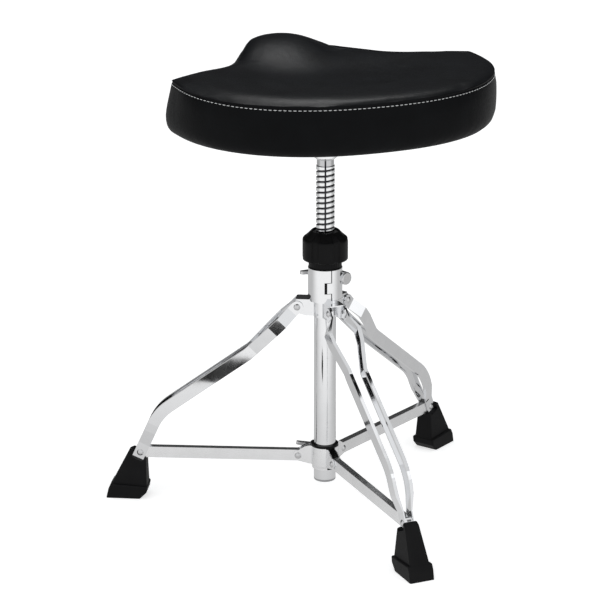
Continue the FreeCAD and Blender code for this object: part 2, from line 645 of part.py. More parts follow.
# ---------------------------------------------------------------- every node
def build():
    os.makedirs("parts", exist_ok=True)
    for name, azimuth in LEG_AZIMUTH.items():
        save("leg_strip_a_" + name, turned(leg_strip(1), azimuth))
        save("leg_strip_b_" + name, turned(leg_strip(-1), azimuth))
        save("fold_rivets_" + name, turned(fold_rivets(), azimuth))
        save("foot_rivet_" + name, turned(through_rivet(FOOT_PIVOT, STRIP_FOOT_T), azimuth))
        save("rubber_boot_" + name, turned(rubber_boot(), azimuth))
        save("stay_" + name, turned(stay(), azimuth))
        save("leg_bracket_" + name, turned(leg_bracket(), azimuth + 60))
        segment = turned(lower_segment(), azimuth + 60)
        if abs(azimuth + 60 - BOSS_AZIMUTH) < 1:
            screw_hole = Part.makeCylinder(3.05, 60, V(0, 0, BOSS_Z), V(1, 0, 0))
            segment = segment.cut(turned(screw_hole, BOSS_AZIMUTH))
        save("stay_bracket_" + name, segment)
    stay_rivet = through_rivet(STAY_PIVOT, STAY_HALF + SIDE_GAP + 1.5)
    save("stay_rivets", group([turned(stay_rivet, azimuth) for azimuth in LEG_AZIMUTH.values()]))
    save("bracket_top_plate", top_plate())

    save("base_tube", tube(TUBE_R, TUBE_BORE, TUBE_BOTTOM, TUBE_TOP))
    cap = Part.makeCylinder(TUBE_R, TUBE_BOTTOM - CAP_BOTTOM, V(0, 0, CAP_BOTTOM))
    cap = cap.makeFillet(2.2, [e for e in cap.Edges if e.BoundBox.ZMax < CAP_BOTTOM + 0.1])
    save("tube_end_cap", fused([cap, Part.makeCylinder(TUBE_BORE, 12, V(0, 0, TUBE_BOTTOM))]))
    sleeve, half = collar_parts()
    save("collar_sleeve", sleeve)
    save("clamp_half", half)
    save("collar_bush", collar_bush())
    save("guide_key", guide_key())
    head = clamp_cylinder(8.2, HEAD_B, HEAD_B + 3.0)
    rim = [e for e in head.Edges if (e.CenterOfMass - clamp_point(HEAD_B)).Length < 0.5]
    head = head.makeFillet(1.2, rim)
    save("clamp_bolt", fused([head, clamp_cylinder(BOLT_R, HEAD_B + 2.0, NUT_B + 13)]))
    save("clamp_washer", clamp_cylinder(6.8, 20.0, 21.4).cut(clamp_cylinder(BOLT_R, 10, 40)))
    clamp_wing = turned(wing(29.0, 6.6, 11.5, 6.0, BOLT_R + RUNNING), 3, V(0, 0, 0), V(1, 0, 0))
    save("clamp_wing_nut", aimed(clamp_wing, clamp_point(21.5), CLAMP_AZIMUTH))

    low_bush = tube(LOW_BORE, TUBE_R + 0.08, LOW_LIP_Z, LOW_Z[1])
    low_bush = fused([low_bush, tube(LOW_R - 0.3, TUBE_R + 0.08, LOW_Z[1], LOW_Z[1] + 3)])
    thread_hole = Part.makeCylinder(3.05, 60, V(0, 0, BOSS_Z), V(1, 0, 0))
    boss = Part.makeCylinder(7.0, 8.5, V(LOW_R - 1.5, 0, BOSS_Z), V(1, 0, 0))
    boss = boss.cut(Part.makeCylinder(LOW_R, 400)).cut(thread_hole)
    boss = turned(boss, BOSS_AZIMUTH)
    save("sliding_bush", low_bush.cut(turned(thread_hole, BOSS_AZIMUTH)))
    save("collar_boss", boss)
    screw = Part.makeCylinder(3.0, 17.5, V(TUBE_R + 0.1, 0, 0), V(1, 0, 0))
    handle = wing(26.0, 6.4, 11.0, 5.0, 0)
    handle.translate(V(LOW_R + 7.2, 0, 0))
    wing_bolt = turned(fused([screw, handle]), 12, V(0, 0, 0), V(1, 0, 0))
    save("collar_wing_bolt", aimed(wing_bolt, V(0, 0, BOSS_Z), BOSS_AZIMUTH))

    save("seat_post", seat_post())
    guide = tube(TUBE_BORE - RUNNING, POST_R, POST_Z[0] + 1, POST_Z[0] + 13)
    save("post_guide", guide)
    save("height_knob", height_knob())
    save("knob_nut", knob_nut())
    save("knob_washer", tube(KNOB_NECK_R - 1.5, POST_R + 0.6, COLLAR_Z[1] + 0.1, KNOB_Z[0]))

    cover, foam, board, cloth = seat_parts()
    save("seat_cover", in_place(cover))
    save("seat_foam", in_place(foam))
    save("seat_board", in_place(board))
    save("dust_cloth", in_place(cloth))
    save("seat_bracket", in_place(seat_bracket()))
    save("seat_bolts", in_place(seat_bolts()))
    save("seat_washers", in_place(seat_washers()))
    save("tee_nuts", in_place(tee_nuts()))
    save("seat_lock_bolt", in_place(seat_lock_bolt()))


build()
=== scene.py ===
import json
import math

import bmesh
import bpy
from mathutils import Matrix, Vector


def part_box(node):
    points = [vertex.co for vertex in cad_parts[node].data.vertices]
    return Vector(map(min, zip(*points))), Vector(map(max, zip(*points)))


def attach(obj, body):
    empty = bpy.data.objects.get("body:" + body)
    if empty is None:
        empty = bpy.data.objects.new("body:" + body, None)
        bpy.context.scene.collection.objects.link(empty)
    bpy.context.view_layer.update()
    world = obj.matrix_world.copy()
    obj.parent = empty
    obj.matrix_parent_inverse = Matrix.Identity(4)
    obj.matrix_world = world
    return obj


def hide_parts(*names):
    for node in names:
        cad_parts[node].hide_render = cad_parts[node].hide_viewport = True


# Drum throne. Metres, +Z up. Pieces are drawn round the tube's axis with z = 0 on the floor, and make_object
# moves them to where the frame has that axis. Seat, post and knob sizes are in millimetres, turned into
# metres with MM.
MM = 0.001
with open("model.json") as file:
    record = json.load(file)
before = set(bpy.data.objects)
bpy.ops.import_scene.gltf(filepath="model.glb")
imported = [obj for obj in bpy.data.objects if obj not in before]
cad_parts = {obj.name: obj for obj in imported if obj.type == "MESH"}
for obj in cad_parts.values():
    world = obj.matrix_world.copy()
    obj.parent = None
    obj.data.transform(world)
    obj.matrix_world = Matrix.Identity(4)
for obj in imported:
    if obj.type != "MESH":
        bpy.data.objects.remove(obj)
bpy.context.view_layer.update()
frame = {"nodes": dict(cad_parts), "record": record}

SEAT_TURN = math.radians(22.5)
tube_lo, tube_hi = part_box("base_tube")
AXIS = Vector(((tube_lo.x + tube_hi.x) / 2, (tube_lo.y + tube_hi.y) / 2, 0))


# ---------------------------------------------------------------- node helpers
class Nodes:
    """Small wrapper that adds and links shader nodes."""

    def __init__(self, name):
        self.mat = bpy.data.materials.new(name)
        self.mat.use_nodes = True
        self.tree = self.mat.node_tree
        self.shader = self.tree.nodes["Principled BSDF"]
        self.coord = self.tree.nodes.new("ShaderNodeTexCoord").outputs["Object"]

    def add(self, kind, inputs=None, **settings):
        node = self.tree.nodes.new(kind)
        for key, value in settings.items():
            setattr(node, key, value)
        for key, value in (inputs or {}).items():
            if isinstance(value, bpy.types.NodeSocket):
                self.tree.links.new(value, node.inputs[key])
            else:
                node.inputs[key].default_value = value
        return node

    def scaled(self, scale):
        return self.add("ShaderNodeMapping", {"Vector": self.coord, "Scale": scale}).outputs["Vector"]

    def noise(self, scale, detail=3.0, roughness=0.5, vector=None):
        inputs = {"Scale": scale, "Detail": detail, "Roughness": roughness, "Vector": vector or self.coord}
        return self.add("ShaderNodeTexNoise", inputs).outputs["Fac"]

    def cells(self, scale, feature="F1"):
        inputs = {"Scale": scale, "Vector": self.coord}
        return self.add("ShaderNodeTexVoronoi", inputs, feature=feature).outputs["Distance"]

    def bands(self, scale, distortion, direction):
        inputs = {"Scale": scale, "Distortion": distortion, "Vector": self.coord}
        return self.add("ShaderNodeTexWave", inputs, bands_direction=direction).outputs["Fac"]

    def ramp(self, fac, stops):
        node = self.add("ShaderNodeValToRGB", {"Fac": fac})
        elements = node.color_ramp.elements
        while len(elements) < len(stops):
            elements.new(0.5)
        for element, (place, colour) in zip(elements, stops):
            element.position = place
            element.color = (*colour, 1.0) if not isinstance(colour, (int, float)) else (colour,) * 3 + (1.0,)
        return node.outputs["Color"]

    def math(self, operation, a, b=0.0):
        node = self.add("ShaderNodeMath", operation=operation)
        for i, value in enumerate((a, b)):
            if isinstance(value, bpy.types.NodeSocket):
                self.tree.links.new(value, node.inputs[i])
            else:
                node.inputs[i].default_value = value
        return node.outputs["Value"]

    def bump(self, height, strength, distance, normal=None):
        inputs = {"Height": height, "Strength": strength, "Distance": distance}
        if normal:
            inputs["Normal"] = normal
        return self.add("ShaderNodeBump", inputs).outputs["Normal"]

    def set(self, **sockets):
        for key, value in sockets.items():
            name = key.replace("_", " ")
            socket = next(s for s in self.shader.inputs if s.name.lower() == name.lower())
            if isinstance(value, bpy.types.NodeSocket):
                self.tree.links.new(value, socket)
            else:
                socket.default_value = value
        return self.mat


# ---------------------------------------------------------------- materials
def chrome(name, tint, rough, ripple):
    """Plated steel: faint haze, fine polishing marks and a slow ripple in the reflection."""
    n = Nodes(name)
    haze = n.noise(60, 4, 0.6)
    marks = n.noise(1400, 2, 0.5)
    mixed = n.math("ADD", n.math("MULTIPLY", haze, 0.75), n.math("MULTIPLY", marks, 0.25))
    roughness = n.ramp(mixed, [(0.35, rough * 0.75), (0.65, rough * 1.35)])
    colour = n.ramp(haze, [(0.3, tuple(c * 0.96 for c in tint)), (0.7, tint)])
    wave = n.bump(n.noise(45, 1, 0.4), ripple, 0.0006)
    return n.set(base_color=colour, metallic=1.0, roughness=roughness, normal=wave)


# Radius under which the post's colour is painted dark: painted shade in the thread grooves and the keyway.
SHADED_GROOVE_R = 0.0104


def grooved(name, tint):
    """Chrome with painted shade: its colour turns near black down in the thread grooves and the keyway."""
    n = Nodes(name)
    xyz = n.add("ShaderNodeSeparateXYZ", {"Vector": n.coord}).outputs
    dx, dy = n.math("SUBTRACT", xyz["X"], AXIS.x), n.math("SUBTRACT", xyz["Y"], AXIS.y)
    square = n.math("ADD", n.math("MULTIPLY", dx, dx), n.math("MULTIPLY", dy, dy))
    depth = n.math("MULTIPLY", n.math("SUBTRACT", n.math("POWER", square, 0.5), SHADED_GROOVE_R), 900.0)
    haze = n.noise(60, 4, 0.6)
    # Painted shade: the colour goes near black with depth below the groove radius.
    colour = n.ramp(depth, [(0.1, (0.03, 0.03, 0.034)), (0.9, tint)])
    roughness = n.ramp(haze, [(0.35, 0.06), (0.65, 0.10)])
    return n.set(base_color=colour, metallic=1.0, roughness=roughness, normal=n.bump(haze, 0.05, 0.0003))


def satin(name, tint, rough):
    """Barrel-plated steel with a soft, slightly mottled shine."""
    n = Nodes(name)
    mottle = n.noise(260, 5, 0.65)
    cloud = n.noise(28, 3, 0.5)
    roughness = n.ramp(mottle, [(0.3, rough * 0.8), (0.7, rough * 1.3)])
    colour = n.ramp(cloud, [(0.3, tuple(c * 0.93 for c in tint)), (0.7, tint)])
    grain = n.bump(mottle, 0.08, 0.0003)
    return n.set(base_color=colour, metallic=1.0, roughness=roughness, normal=grain)


def vinyl():
    """Black grained vinyl: pebble grain, pores and long soft creases."""
    n = Nodes("vinyl_skin")
    pebble = n.cells(620, "SMOOTH_F1")
    pores = n.noise(1500, 2, 0.5)
    crease = n.noise(90, 4, 0.6, n.scaled((1.0, 1.0, 0.32)))
    grain = n.math("ADD", pebble, n.math("MULTIPLY", pores, 0.35))
    fine = n.bump(grain, 0.22, 0.00035)
    coarse = n.bump(crease, 0.28, 0.0011, fine)
    tone = n.ramp(n.noise(35, 3, 0.5), [(0.3, (0.0012, 0.0014, 0.0018)), (0.7, (0.0022, 0.0026, 0.0032))])
    roughness = n.ramp(grain, [(0.2, 0.34), (0.9, 0.47)])
    n.set(base_color=tone, roughness=roughness, normal=coarse)
    return n.set(specular_ior_level=0.075)


def moulded(name, dark, light, rough, grain_scale, grain_depth, shine=0.5):
    """Moulded plastic or rubber with fine spark texture and slightly worn tone."""
    n = Nodes(name)
    speckle = n.noise(grain_scale, 3, 0.6)
    cloud = n.noise(40, 3, 0.5)
    colour = n.ramp(n.math("ADD", n.math("MULTIPLY", speckle, 0.4), n.math("MULTIPLY", cloud, 0.6)),
                    [(0.35, dark), (0.68, light)])
    roughness = n.ramp(speckle, [(0.3, rough * 0.85), (0.7, min(1.0, rough * 1.15))])
    n.set(base_color=colour, roughness=roughness, normal=n.bump(speckle, 0.35, grain_depth))
    return n.set(specular_ior_level=shine)


def plywood():
    n = Nodes("birch_ply")
    veneers = n.bands(130, 0.5, "Z")
    figure = n.noise(30, 5, 0.6, n.scaled((1.0, 9.0, 1.0)))
    mixed = n.math("ADD", n.math("MULTIPLY", veneers, 0.45), n.math("MULTIPLY", figure, 0.55))
    colour = n.ramp(mixed, [(0.2, (0.36, 0.23, 0.12)), (0.5, (0.56, 0.40, 0.24)), (0.8, (0.68, 0.53, 0.35))])
    return n.set(base_color=colour, roughness=0.7, normal=n.bump(figure, 0.3, 0.0003))


def fleece():
    """Spun black dust cloth with a dimpled bond pattern."""
    n = Nodes("spun_cloth")
    dimples = n.cells(420)
    fibres = n.noise(900, 4, 0.7)
    mixed = n.math("ADD", n.math("MULTIPLY", dimples, 0.8), n.math("MULTIPLY", fibres, 0.5))
    colour = n.ramp(mixed, [(0.3, (0.008, 0.008, 0.009)), (0.9, (0.03, 0.03, 0.033))])
    return n.set(base_color=colour, roughness=0.92, normal=n.bump(mixed, 0.5, 0.0004), sheen_weight=0.2)


def foam():
    n = Nodes("open_foam")
    cells = n.cells(700)
    colour = n.ramp(cells, [(0.1, (0.78, 0.70, 0.46)), (0.6, (0.62, 0.52, 0.30))])
    return n.set(base_color=colour, roughness=0.95, normal=n.bump(cells, 0.6, 0.0008))


def thread_white():
    n = Nodes("sewing_thread")
    twist = n.bands(900, 1.0, "DIAGONAL")
    colour = n.ramp(twist, [(0.2, (0.55, 0.56, 0.56)), (0.8, (0.86, 0.87, 0.87))])
    return n.set(base_color=colour, roughness=0.6, normal=n.bump(twist, 0.5, 0.0002))


M = {
    "chrome": chrome("bright_chrome", (0.84, 0.845, 0.855), 0.055, 0.10),
    "grooved": grooved("shaded_groove_chrome", (0.84, 0.845, 0.855)),
    "satin_chrome": satin("satin_chrome", (0.93, 0.932, 0.94), 0.20),
    "zinc": satin("bright_zinc", (0.66, 0.66, 0.665), 0.22),
    "vinyl": vinyl(),
    "foam": foam(),
    "plywood": plywood(),
    "dust_cloth": fleece(),
    "nylon": moulded("black_nylon", (0.002, 0.002, 0.0022), (0.005, 0.005, 0.0055), 0.40, 900, 0.00012, 0.12),
    "rubber": moulded("black_rubber", (0.0025, 0.0025, 0.0028), (0.006, 0.006, 0.0066), 0.55, 700, 0.0002, 0.14),
    "grey_plastic": moulded("grey_plug", (0.30, 0.30, 0.31), (0.44, 0.44, 0.45), 0.38, 700, 0.0001),
    "thread": thread_white(),
}

slots = {s["node"]: s["material_slot"] for s in frame["record"]["subparts"]}
for node_name, obj in frame["nodes"].items():
    obj.data.materials.clear()
    obj.data.materials.append(M[slots[node_name]])


# ---------------------------------------------------------------- mesh helpers
def make_object(name, verts, faces, material, smooth=True):
    mesh = bpy.data.meshes.new(name)
    mesh.from_pydata([tuple(Vector(v) + AXIS) for v in verts], [], faces)
    mesh.update()
    obj = bpy.data.objects.new(name, mesh)
    bpy.context.scene.collection.objects.link(obj)
    mesh.materials.append(material)
    if smooth:
        mesh.polygons.foreach_set("use_smooth", [True] * len(mesh.polygons))
    return obj


def fix_normals(obj):
    bm = bmesh.new()
    bm.from_mesh(obj.data)
    bmesh.ops.recalc_face_normals(bm, faces=bm.faces)
    bm.to_mesh(obj.data)
    bm.free()


def apply_modifiers(obj):
    bpy.context.view_layer.update()
    evaluated = obj.evaluated_get(bpy.context.evaluated_depsgraph_get())
    mesh = bpy.data.meshes.new_from_object(evaluated)
    obj.modifiers.clear()
    obj.data = mesh
    return obj


def ring_faces(rings, count):
    """Quads between successive closed rings of count vertices each."""
    faces = []
    for ring in range(rings - 1):
        base = ring * count
        for i in range(count):
            j = (i + 1) % count
            faces.append((base + i, base + j, base + count + j, base + count + i))
    return faces


# ---------------------------------------------------------------- seat
HALF_WIDTH = 211.0
REAR = 193.0
NOSE = 150.0
FRONT = [(205, 14), (173, 32), (134, 49), (104, 70), (84, 96), (62, 128), (34, 145)]
SECTORS = 288


def catmull(points, samples):
    """Closed Catmull-Rom curve, samples points spread evenly along its control points."""
    out = []
    count = len(points)
    for i in range(samples):
        t = i * count / samples
        k = int(t)
        f = t - k
        p0, p1, p2, p3 = (points[(k + j - 1) % count] for j in range(4))
        out.append(tuple(0.5 * (2 * b + (c - a) * f + (2 * a - 5 * b + 4 * c - d) * f * f
                                + (3 * b - a - 3 * c + d) * f ** 3) for a, b, c, d in zip(p0, p1, p2, p3)))
    return out


def outline(inset):
    """Saddle outline in the seat's own axes, nose to +Y, drawn in by inset millimetres."""
    half = HALF_WIDTH - inset
    rear = REAR - inset
    rear_points = []
    for i in range(13):
        a = math.radians(-90 + 7.5 * i)
        rear_points.append((half * abs(math.cos(a)) ** 0.889, -rear * abs(math.sin(a)) ** 0.889))
    scale = half / HALF_WIDTH
    right = rear_points + [(x * scale, y - inset * 0.75) for x, y in FRONT] + [(0, NOSE - inset)]
    left = [(-x, y) for x, y in reversed(right[1:-1])]
    return right + left


def even_outline(inset, params):
    """Points of an outline at shared curve parameters, so that rings line up."""
    fine = catmull(outline(inset), SECTORS * 8)
    return [fine[int(round(p * SECTORS * 8)) % (SECTORS * 8)] for p in params]


def shared_params():
    """Curve parameters that are evenly spaced by length along the outer outline."""
    fine = catmull(outline(0), SECTORS * 8)
    total = [0.0]
    for a, b in zip(fine, fine[1:] + fine[:1]):
        total.append(total[-1] + math.dist(a, b))
    params = []
    k = 0
    for i in range(SECTORS):
        goal = total[-1] * i / SECTORS
        while total[k + 1] < goal:
            k += 1
        params.append((k + (goal - total[k]) / (total[k + 1] - total[k])) / (SECTORS * 8))
    return params


PARAMS = shared_params()
EDGE = even_outline(0, PARAMS)


def edge_distance(x, y):
    return min(math.hypot(x - a, y - b) for a, b in EDGE)


def smooth(a, b, t):
    t = min(1.0, max(0.0, (t - a) / (b - a)))
    return t * t * (3 - 2 * t)


RIM_TOP = 588.0
ROLL_DROP, ROLL_WIDTH = 7.5, 31.0
BOWL_DEPTH = 13.0
BOWL_HALF_X, BOWL_HALF_Y, BOWL_Y = 168.0, 138.0, -24.0
POMMEL_RISE = 18.5
POMMEL_X, POMMEL_Y = -24.0, 100.0


def draw_in(x, y):
    """How much further the seam is pulled in: most at the wing tips, least along the sides."""
    tip = math.exp(-((abs(x) - 200) ** 2 + (y - 15) ** 2) / 55.0 ** 2)
    side = math.exp(-((abs(x) - 205) ** 2 + (y + 70) ** 2) / 70.0 ** 2)
    return 5.0 * tip - 2.2 * side


def tip_lift(x, y, z):
    """How much the seam rises towards the wing tips."""
    return 3.5 * smooth(110, 205, abs(x)) * smooth(-170, -10, y) * smooth(540, 577, z)


def ring_at(inset, z):
    """One ring of the pad at a height, with the upper part of the band drawn in."""
    near, far = even_outline(inset, PARAMS), even_outline(inset + 10, PARAMS)
    weight = smooth(536, 577, z) * (1 - smooth(8, 45, inset))
    ring = []
    for (x, y), (u, v) in zip(near, far):
        f = draw_in(x, y) * weight / 10
        ring.append((x + (u - x) * f, y + (v - y) * f))
    return ring


def top_height(x, y):
    """Height of the seat's top in millimetres: broad rolled rim, dished middle and a lopsided pommel."""
    d = edge_distance(x, y)
    inner = max(0.0, d - draw_in(x, y))
    roll = RIM_TOP - ROLL_DROP * (1 - min(1.0, inner / ROLL_WIDTH)) ** 2.6
    reach = math.hypot(x / BOWL_HALF_X, (y - BOWL_Y) / BOWL_HALF_Y)
    bowl = BOWL_DEPTH * (1 - smooth(0.22, 1.0, reach))
    rx = (x - POMMEL_X) / (72.0 if x < POMMEL_X else 64.0)
    ry = (y - POMMEL_Y) / (68.0 if y < POMMEL_Y else 54.0)
    swell = math.exp(-((rx * rx + ry * ry) ** 1.35))
    steep = smooth(-4, 14, d) if x < POMMEL_X else smooth(2, 30, d)
    front = 4.2 * smooth(20, 95, y) * (1 - swell)
    lean = 2.0 * max(-1.0, min(1.0, x / 180.0)) * smooth(4, 30, d)
    return roll - bowl * (1 - 0.85 * swell) - front - lean + POMMEL_RISE * swell * steep


SIDE = [(33.0, 519.2), (32.2, 518.3), (28, 518.2), (20, 518.0), (13.5, 518.3), (8.8, 519.6), (5.2, 522.2),
        (2.8, 525.8), (1.2, 530.5), (0.35, 536), (0.0, 542), (0.0, 548), (0.3, 554), (0.8, 560), (1.5, 566.6),
        (2.4, 573.4), (3.2, 577.1), (3.9, 579.1), (4.9, 580.0), (4.1, 580.9), (3.4, 582.0)]
SEAM_RING = 18
SEAM_Z, CREST_Z = 580.0, 582.0
TOP_INSETS = [3.6, 4.4, 6.0, 8.2]
INNER_RINGS = 34


def seat_rings(grow):
    """Rings of the pad from the hem up to the middle of the top; grow shrinks the pad for the foam inside."""
    rings = []
    for inset, z in SIDE:
        rings.append([(x, y, z + tip_lift(x, y, z)) for x, y in ring_at(inset + grow, z)])
    last = None
    for k, inset in enumerate(TOP_INSETS):
        ring = []
        for x, y in ring_at(inset + grow, SEAM_Z):
            low = CREST_Z + tip_lift(x, y, CREST_Z) + 0.45 * k
            ring.append((x, y, max(top_height(x, y), low) - grow))
        rings.append(ring)
        last = ring
    centre = (0.0, -12.0)
    for k in range(1, INNER_RINGS):
        f = 1 - k / INNER_RINGS
        ring = []
        for x, y, _ in last:
            px, py = centre[0] + (x - centre[0]) * f, centre[1] + (y - centre[1]) * f
            ring.append((px, py, top_height(px, py) - grow))
        rings.append(ring)
    return rings, (centre[0], centre[1], top_height(*centre) - grow)


def turn_seat(p):
    c, s = math.cos(SEAT_TURN), math.sin(SEAT_TURN)
    return (p[0] * c - p[1] * s, p[0] * s + p[1] * c, p[2])


def seat_mesh(name, grow, material):
    rings, centre = seat_rings(grow)
    verts = [turn_seat(tuple(v * MM for v in p)) for ring in rings for p in ring]
    verts.append(turn_seat(tuple(v * MM for v in centre)))
    faces = ring_faces(len(rings), SECTORS)
    base = (len(rings) - 1) * SECTORS
    faces += [(base + i, base + (i + 1) % SECTORS, len(verts) - 1) for i in range(SECTORS)]
    return make_object(name, verts, faces, material)


STUFF_FRAMES = 20
SOFTEN_PASSES = 4


def stuff(obj, cap):
    """Cloth under inner pressure with seam, hem and underside held; its motion is softened and capped."""
    rest = [v.co.copy() for v in obj.data.vertices]
    group = obj.vertex_groups.new(name="held")
    rows = set(range(6)) | set(range(SEAM_RING - 3, SEAM_RING + 2))
    held = [i for i in range(len(rest)) if i // SECTORS in rows]
    group.add(held, 1.0, "REPLACE")
    cloth = obj.modifiers.new("Cloth", "CLOTH")
    s = cloth.settings
    s.quality = 6
    s.mass = 0.25
    s.tension_stiffness = s.compression_stiffness = 18
    s.shear_stiffness = 8
    s.bending_stiffness = 0.6
    s.use_pressure = True
    s.uniform_pressure_force = 2.0
    s.shrink_min = -0.004
    s.vertex_group_mass = "held"
    s.effector_weights.gravity = 0
    cloth.collision_settings.use_collision = False
    cloth.point_cache.frame_start = 1
    cloth.point_cache.frame_end = STUFF_FRAMES
    scene = bpy.context.scene
    for f in range(1, STUFF_FRAMES + 1):
        scene.frame_set(f)
    apply_modifiers(obj)
    scene.frame_set(1)
    moves = [v.co - old for v, old in zip(obj.data.vertices, rest)]
    rows = (len(rest) - 1) // SECTORS
    for _ in range(SOFTEN_PASSES):
        soft = list(moves)
        for row in range(SEAM_RING + 2, rows - 1):
            for i in range(SECTORS):
                k = row * SECTORS + i
                left, right = row * SECTORS + (i - 1) % SECTORS, row * SECTORS + (i + 1) % SECTORS
                soft[k] = (moves[k] * 2 + moves[left] + moves[right]
                           + moves[k - SECTORS] + moves[k + SECTORS]) / 6
        moves = soft
    for v, old, move in zip(obj.data.vertices, rest, moves):
        if move.length > cap:
            move = move * (cap / move.length)
        v.co = old + move
    obj.vertex_groups.clear()
    return obj


cover = seat_mesh("seat_skin", 0.0, M["vinyl"])
fix_normals(cover)
stuff(cover, 1.6 * MM)
shell = cover.modifiers.new("Thickness", "SOLIDIFY")
shell.thickness = 1.3 * MM
shell.offset = -1.0
shell.use_even_offset = False
apply_modifiers(cover)
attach(cover, "seat")
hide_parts("seat_cover")


FOAM_FLOOR = 531.7


def seat_filling():
    """Foam block inside the cover, closed underneath where it lies on the board."""
    rings, centre = seat_rings(3.0)
    keep = [ring for ring in rings if ring[0][2] > FOAM_FLOOR + 0.8]
    floor = [(x, y, FOAM_FLOOR) for x, y, _ in keep[0]]
    keep = [floor] + keep
    verts = [turn_seat(tuple(v * MM for v in p)) for ring in keep for p in ring]
    verts += [turn_seat(tuple(v * MM for v in centre)), (0.0, 0.0, FOAM_FLOOR * MM)]
    faces = ring_faces(len(keep), SECTORS)
    base = (len(keep) - 1) * SECTORS
    faces += [(base + i, base + (i + 1) % SECTORS, len(verts) - 2) for i in range(SECTORS)]
    faces += [((i + 1) % SECTORS, i, len(verts) - 1) for i in range(SECTORS)]
    return make_object("foam_filling", verts, faces, M["foam"])


filling = seat_filling()
fix_normals(filling)
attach(filling, "seat")
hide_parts("seat_foam")


def capsule(start, end, radius, lift, rings=5, sides=6):
    """Short thread that rises out of the cloth at one end and dives back at the other."""
    axis = (end - start).normalized()
    side = axis.cross(lift).normalized()
    verts, faces = [], []
    for k in range(rings + 1):
        t = k / rings
        swell = math.sin(math.pi * (0.08 + 0.84 * t)) ** 0.5
        centre = start.lerp(end, t) + lift * radius * (math.sin(math.pi * t) * 0.9 - 0.35)
        for i in range(sides):
            a = 2 * math.pi * i / sides
            verts.append(centre + (side * math.cos(a) + lift * math.sin(a)) * radius * swell)
    faces += ring_faces(rings + 1, sides)
    faces += [tuple(reversed(range(sides))), tuple(range(rings * sides, (rings + 1) * sides))]
    return verts, faces


STITCH_INSET, STITCH_Z = 3.35, 577.9
STITCH_PITCH, STITCH_SHARE, STITCH_RADIUS = 6.0, 0.68, 0.46


def stitches():
    """Contrast top-stitching just under the seam, all the way round."""
    path = []
    for x, y in ring_at(STITCH_INSET, STITCH_Z):
        path.append(Vector(turn_seat((x * MM, y * MM, (STITCH_Z + tip_lift(x, y, STITCH_Z)) * MM))))
    lengths = [0.0]
    for a, b in zip(path, path[1:] + path[:1]):
        lengths.append(lengths[-1] + (b - a).length)
    count = round(lengths[-1] / (STITCH_PITCH * MM))
    verts, faces = [], []
    k = 0

    def at(distance):
        nonlocal k
        distance %= lengths[-1]
        if distance < lengths[k]:
            k = 0
        while lengths[k + 1] < distance:
            k += 1
        f = (distance - lengths[k]) / (lengths[k + 1] - lengths[k])
        return path[k].lerp(path[(k + 1) % len(path)], f)

    for i in range(count):
        start = at(lengths[-1] * i / count)
        end = at(lengths[-1] * (i + STITCH_SHARE) / count)
        outward = (end - start).cross(Vector((0, 0, 1))).normalized()
        v, f = capsule(start, end, STITCH_RADIUS * MM, outward)
        faces += [tuple(j + len(verts) for j in face) for face in f]
        verts += v
    return make_object("top_stitching", verts, faces, M["thread"])


thread = stitches()
fix_normals(thread)
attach(thread, "seat")


SEAT_UNDERSIDE = 518.0
STAPLE_INSET, STAPLE_LENGTH = 27.0, 9.5


def staples():
    """Staples that hold the hem to the board, seen from below."""
    verts, faces = [], []
    samples, step = 1200, 24
    path = catmull(outline(STAPLE_INSET), samples)
    for i in range(0, samples, step):
        a = Vector((*path[i], SEAT_UNDERSIDE))
        b = Vector((*path[(i + step // 4) % samples], SEAT_UNDERSIDE))
        b = a + (b - a).normalized() * STAPLE_LENGTH
        v, f = capsule(a, b, 0.6, Vector((0, 0, -1)), 6, 6)
        faces += [tuple(j + len(verts) for j in face) for face in f]
        verts += [Vector(turn_seat(tuple(c * MM for c in p))) for p in v]
    return make_object("hem_staples", verts, faces, M["zinc"])


hem = staples()
fix_normals(hem)
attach(hem, "seat")


# ---------------------------------------------------------------- post
POST_R = 12.0
PITCH = 7.0
THREAD_LOW = 229.0
THREAD_HIGH = 458.0
POST_LOW, POST_HIGH = 215.0, 508.0
THREAD_DEPTH = 1.75
KEYWAY_DEPTH, KEYWAY_HALF, KEYWAY_TOP = 1.9, 1.2, 466.0


def thread_radius(z, angle):
    """Rounded ridges with narrow grooves, fading out at both ends of the threaded length."""
    phase = (z / PITCH - angle / (2 * math.pi)) % 1.0
    edge = abs(phase - 0.5) * 2
    groove = smooth(0.56, 0.86, edge)
    fade = smooth(THREAD_LOW - 2, THREAD_LOW + 3, z) * (1 - smooth(THREAD_HIGH - 3, THREAD_HIGH + 1, z))
    neck = 0.9 * smooth(THREAD_HIGH, THREAD_HIGH + 1.2, z)
    return POST_R - THREAD_DEPTH * groove * fade - neck - 0.02


def post_mesh():
    """Round bar with a coarse rounded thread, and a keyway down one side."""
    sectors = 96
    half_key = math.asin(KEYWAY_HALF / POST_R)
    angles = []
    for i in range(sectors):
        angles.append(-math.pi / 2 + half_key + (2 * math.pi - 2 * half_key) * i / (sectors - 1))
    key_angles = [-math.pi / 2 - half_key * 0.97, -math.pi / 2, -math.pi / 2 + half_key * 0.97]
    angles += [a + 2 * math.pi for a in key_angles]
    step = PITCH / 16
    rows = int((POST_HIGH - POST_LOW) / step)
    verts = []
    for row in range(rows + 1):
        z = POST_LOW + (POST_HIGH - POST_LOW) * row / rows
        for k, a in enumerate(angles):
            r = thread_radius(z, a)
            if k >= sectors and THREAD_LOW < z < KEYWAY_TOP:
                r = POST_R - KEYWAY_DEPTH
            verts.append((r * math.cos(a) * MM, r * math.sin(a) * MM, z * MM))
    count = len(angles)
    faces = ring_faces(rows + 1, count)
    verts += [(0, 0, POST_LOW * MM), (0, 0, POST_HIGH * MM)]
    top = rows * count
    faces += [((i + 1) % count, i, len(verts) - 2) for i in range(count)]
    faces += [(top + i, top + (i + 1) % count, len(verts) - 1) for i in range(count)]
    return make_object("threaded_post", verts, faces, M["grooved"])


post = post_mesh()
fix_normals(post)
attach(post, "post")
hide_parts("seat_post")


